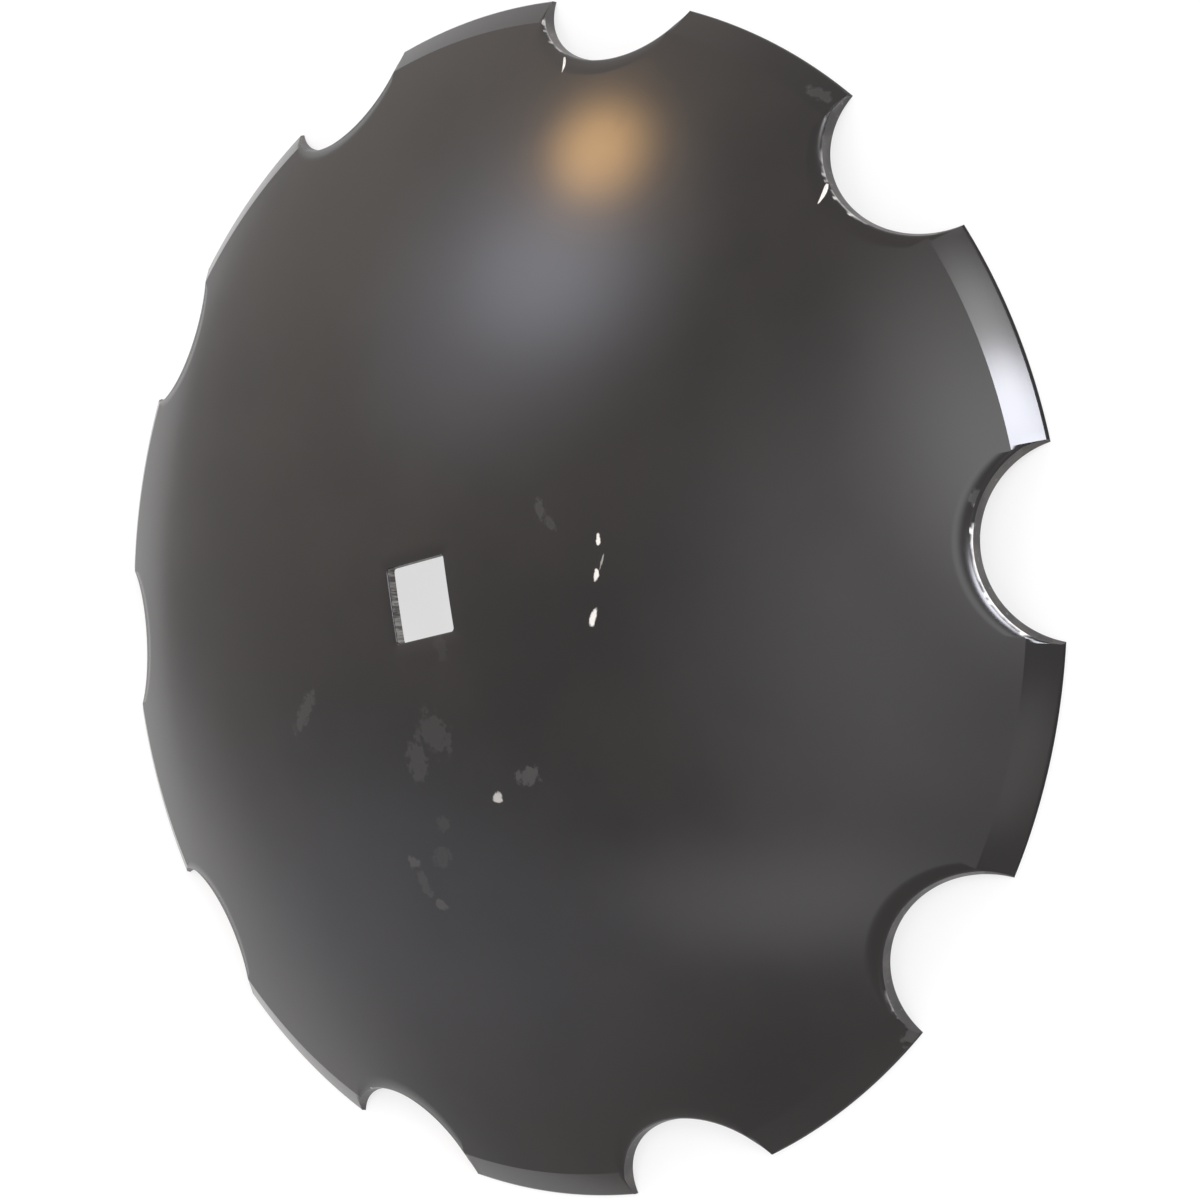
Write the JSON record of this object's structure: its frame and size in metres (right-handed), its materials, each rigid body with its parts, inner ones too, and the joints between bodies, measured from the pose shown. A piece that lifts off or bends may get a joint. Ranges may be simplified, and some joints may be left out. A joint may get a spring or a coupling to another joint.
{
  "type": "harrow disc blade",
  "caption": "Notched concave steel disc with a bevelled rim and a square axle hole; it cuts and turns soil on a harrow gang.",
  "frame": {"origin": "on the axle's line, in the plane of the rim's lower edge, on which the blade lies", "axes": "+Z along the axle's line, out of the convex face; +X and +Y square to the flats of the axle hole"},
  "size_m": [0.6599, 0.6596, 0.0805],
  "materials": {
    "disc_blade": "thin semi-gloss black stove enamel over hardened steel, edges rubbed brighter"
  },
  "bodies": {
    "root": {"disc_blade": "disc_blade"}
  },
  "joints": []
}
